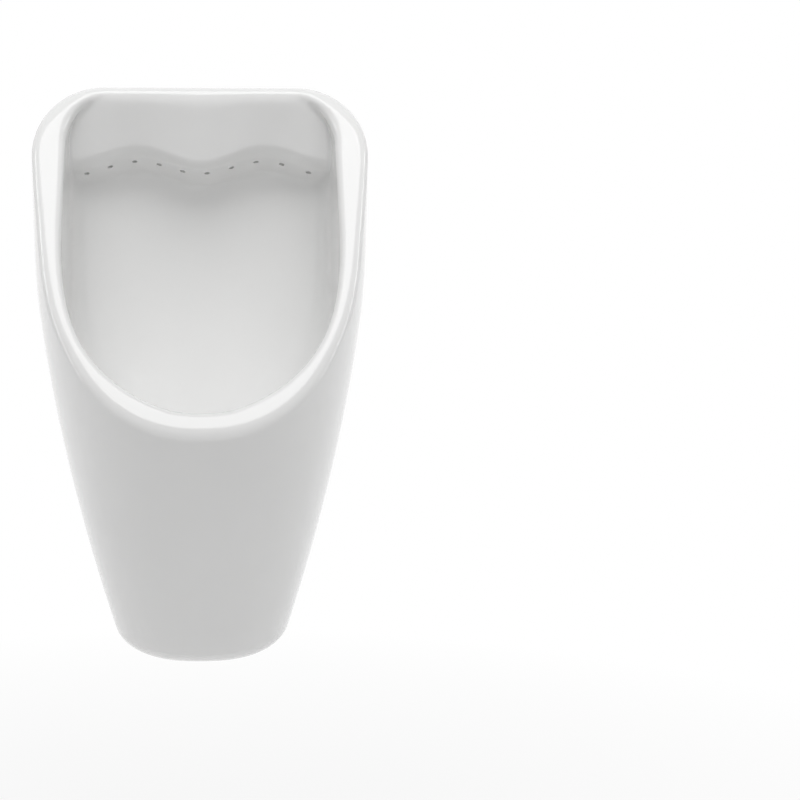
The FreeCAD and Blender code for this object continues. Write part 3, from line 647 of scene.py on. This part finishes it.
def wallPlug(side):
    node = "wall_plug_" + side
    low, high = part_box(node)
    x, z = (low.x + high.x) / 2, (low.z + high.z) / 2
    length = (high.y - low.y) / mm
    profile = [(plug["bore"], 0), (plug["radius"], 0), (plug["radius"], plug["ribFrom"])]
    for i in range(plug["ribs"]):
        along = plug["ribFrom"] + plug["ribPitch"] * i
        profile += [(plug["ribRoot"], along + plug["ribStep"]), (plug["radius"], along + plug["ribPitch"])]
    profile += [(plug["radius"], length - plug["nose"]), (plug["noseRadius"], length)]
    profile.append((plug["bore"], length))
    piece = turnedPiece(node + "_sleeve", profile, (x, low.y, z), (0, 1, 0), plugGrey, plug["segments"])
    start, end = low.y + plug["slitFrom"] * mm, high.y + plug["slitPast"] * mm
    half, wide = plug["slit"] / 2 * mm, plug["slitReach"] * mm
    combine(piece, blockPiece("slit", (x - half, start, z - wide), (x + half, end, z + wide), plugGrey))
    combine(piece, blockPiece("slit", (x - wide, start, z - half), (x + wide, end, z + half), plugGrey))
    piece.data.set_sharp_from_angle(angle=math.radians(30))
    finishPiece(piece, "root", [node])


for side in ("left", "right"):
    boltCap(side)
    hangerBolt(side)
    boltNut(side)
    wallPlug(side)
print("fixings made")


# Strainer, punched with two rings of holes

strainer = {
    "radius": 29.5, "under": 27.9, "thickness": 1.6, "rise": 5, "edge": 0.4, "spigot": 17.5,
    "spigotBore": 15.7, "spigotTop": 4, "window": 10, "windowFoot": -4.5,
    "rings": ((6, 0.4), (12, 0.74)), "steps": 14,
}
punch = {"Radius": 2.6 * mm, "Depth": 14.0 * mm, "Sides": 24, "Tilt": 0.0}


def domeHeight(r, radius, rise):  # height of a shallow dome at a distance from its middle
    size = (radius ** 2 + rise ** 2) / (2 * rise)
    return math.sqrt(size ** 2 - r ** 2) - (size - rise)


def makeStrainer():
    low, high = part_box("strainer_grid")
    radius, under, rise, edge = strainer["radius"], strainer["under"], strainer["rise"], strainer["edge"]
    x, y = (low.x + high.x) / 2, (low.y + high.y) / 2
    seat = high.z - (strainer["thickness"] + rise) * mm
    shares = [i / strainer["steps"] for i in range(strainer["steps"] + 1)]
    rim = [(radius - edge, 0), (radius, edge), (radius, strainer["thickness"] - edge)]
    distances = [(radius - edge) * (1 - s) for s in shares]
    top = [(r, strainer["thickness"] + domeHeight(r, radius, rise)) for r in distances]
    below = [(under * s, domeHeight(under * s, under, rise)) for s in shares]
    piece = turnedPiece("strainer_dome", rim + top + below, (x, y, seat), (0, 0, 1), brightChrome, 96)
    foot, spigotTop = (low.z - seat) / mm, strainer["spigotTop"]
    spigot = turnedPiece("spigot", [(strainer["spigotBore"], foot), (strainer["spigot"], foot),
                                    (strainer["spigot"], spigotTop), (strainer["spigotBore"], spigotTop)],
                         (x, y, seat), (0, 0, 1), brightChrome, 72)
    combine(piece, spigot, "UNION")
    wide, narrow = strainer["spigot"] * mm, strainer["window"] / 2 * mm
    for a, b in ((wide, narrow), (narrow, wide)):
        combine(piece, blockPiece("window", (x - a, y - b, seat + strainer["windowFoot"] * mm),
                                  (x + a, y + b, seat + strainer["thickness"] * mm), brightChrome))
    places = []
    for count, share in strainer["rings"]:
        for i in range(count):
            turn, away = math.tau * i / count, share * radius * mm
            places.append((x + away * math.cos(turn), y + away * math.sin(turn), high.z))
    combine(piece, drillBits("strainer_punches", places, punch, brightChrome))
    piece.data.set_sharp_from_angle(angle=math.radians(30))
    finishPiece(piece, "strainer", ["strainer_grid"])


makeStrainer()
print("strainer made")


# Finishes for the fittings that come over from the drawing

finishes = {
    "bolt_washer_left": zincSteel, "bolt_washer_right": zincSteel, "bolt_bush_left": plugGrey,
    "bolt_bush_right": plugGrey, "inlet_pipe": brightChrome, "waste_flange": brightChrome,
    "waste_back_nut": turnedBrass, "dip_tube": trapWhite, "trap_head": trapWhite,
    "trap_inlet_nut": trapWhite, "trap_cup": trapWhite, "outlet_nut": trapWhite, "outlet_pipe": trapWhite,
    "inlet_seal": blackRubber, "waste_top_seal": blackRubber, "waste_bottom_seal": blackRubber,
    "dip_tube_seal": blackRubber, "trap_inlet_seal": blackRubber, "trap_cup_seal": blackRubber,
    "outlet_seal": blackRubber,
}
for name, finish in finishes.items():
    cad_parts[name].data.materials.clear()
    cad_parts[name].data.materials.append(finish)
print("fittings finished:", len(finishes))


# Floor, light and camera

studio = {
    "floorDrop": 0.40, "floorHalf": 6.0, "floorShow": 0.8, "fadeFrom": 0.5, "fadeTo": 1.6,
    "worldFill": 0.35,
}


def makeFloor():
    z = bodyLow.z - studio["floorDrop"]
    s = studio["floorHalf"]
    material, tree, shader, place = newMaterial("pale_floor")
    tree.links.new(tint(tree, noiseOn(tree, place, 3, 3), (0.86, 0.86, 0.86), (0.89, 0.89, 0.89)),
                   shader.inputs["Base Color"])
    shader.inputs["Roughness"].default_value = 0.9
    glow = tree.nodes.new("ShaderNodeEmission")
    rays = tree.nodes.new("ShaderNodeLightPath")
    seen = tree.nodes.new("ShaderNodeMath")
    seen.operation = "ADD"
    seen.use_clamp = True
    tree.links.new(rays.outputs["Is Camera Ray"], seen.inputs[0])
    tree.links.new(rays.outputs["Is Glossy Ray"], seen.inputs[1])
    away = tree.nodes.new("ShaderNodeVectorMath")
    away.operation = "LENGTH"
    tree.links.new(place, away.inputs[0])
    fade = spread(tree, away.outputs["Value"], studio["floorShow"], 1, studio["fadeFrom"], studio["fadeTo"])
    part = tree.nodes.new("ShaderNodeMath")
    part.operation = "MULTIPLY"
    tree.links.new(fade, part.inputs[1])
    tree.links.new(seen.outputs[0], part.inputs[0])
    mix = tree.nodes.new("ShaderNodeMixShader")
    tree.links.new(part.outputs[0], mix.inputs["Fac"])
    tree.links.new(shader.outputs["BSDF"], mix.inputs[1])
    tree.links.new(glow.outputs["Emission"], mix.inputs[2])
    tree.links.new(mix.outputs["Shader"], tree.nodes["Material Output"].inputs["Surface"])
    floor = placeMesh("floor", [(-s, -s, z), (s, -s, z), (s, s, z), (-s, s, z)], [(0, 1, 2, 3)], material)


def makeWorld():
    world = bpy.data.worlds.new("studio")
    bpy.context.scene.world = world
    world.use_nodes = True
    tree = world.node_tree
    fill = tree.nodes["Background"]
    fill.inputs["Color"].default_value = (1, 1, 1, 1)
    fill.inputs["Strength"].default_value = studio["worldFill"]
    white = tree.nodes.new("ShaderNodeBackground")
    white.inputs["Color"].default_value = (1, 1, 1, 1)
    white.inputs["Strength"].default_value = 1
    rays = tree.nodes.new("ShaderNodeLightPath")
    seen = None
    for kind in ("Is Camera Ray", "Is Glossy Ray", "Is Transmission Ray"):
        if seen is None:
            seen = rays.outputs[kind]
            continue
        add = tree.nodes.new("ShaderNodeMath")
        add.operation = "MAXIMUM"
        tree.links.new(seen, add.inputs[0])
        tree.links.new(rays.outputs[kind], add.inputs[1])
        seen = add.outputs[0]
    mix = tree.nodes.new("ShaderNodeMixShader")
    tree.links.new(seen, mix.inputs["Fac"])
    tree.links.new(fill.outputs["Background"], mix.inputs[1])
    tree.links.new(white.outputs["Background"], mix.inputs[2])
    tree.links.new(mix.outputs["Shader"], tree.nodes["World Output"].inputs["Surface"])


def softbox(name, place, aim, size, power):
    lamp = bpy.data.lights.new(name, "AREA")
    lamp.shape = "RECTANGLE"
    lamp.size, lamp.size_y = size
    lamp.energy = power
    box = bpy.data.objects.new(name, lamp)
    box.location = place
    box.rotation_euler = (Vector(aim) - Vector(place)).to_track_quat("-Z", "Y").to_euler()
    bpy.context.scene.collection.objects.link(box)


def makeCamera():
    view = {"distance": 1.5, "aboveFoot": 0.420, "pitch": 5, "yaw": 2.03, "focal": 64.74, "shiftX": 0.185,
            "shiftY": -0.051}
    lens = bpy.data.cameras.new("camera")
    lens.lens = view["focal"]
    lens.sensor_width = 36
    lens.shift_x, lens.shift_y = view["shiftX"], view["shiftY"]
    camera = bpy.data.objects.new("camera", lens)
    camera.location = (0, -view["distance"], bodyLow.z + view["aboveFoot"])
    camera.rotation_euler = (math.radians(90 - view["pitch"]), 0, -math.radians(view["yaw"]))
    bpy.context.scene.collection.objects.link(camera)
    bpy.context.scene.camera = camera


lamps = {
    "overhead": {"place": (0, -0.95, 1.5), "aim": (0, -0.2, 0), "size": (1.6, 1.0), "power": 16},
    "left_strip": {"place": (-1.1, -0.1, 0.3), "aim": (0, -0.15, 0.1), "size": (0.12, 1.1), "power": 2},
    "right_strip": {"place": (1.1, -0.1, 0.3), "aim": (0, -0.15, 0.1), "size": (0.12, 1.1), "power": 2},
    "under_fill": {"place": (0, -1.0, -0.65), "aim": (0, -0.15, -0.1), "size": (1.2, 0.6), "power": 1.2},
    "front_fill": {"place": (0.3, -2.4, 0.4), "aim": (0, -0.15, 0), "size": (1.6, 1.6), "power": 1.3},
}
makeFloor()
makeWorld()
for name, lamp in lamps.items():
    softbox(name, **lamp)
makeCamera()
bpy.context.scene.view_settings.view_transform = "Standard"
print("studio set")
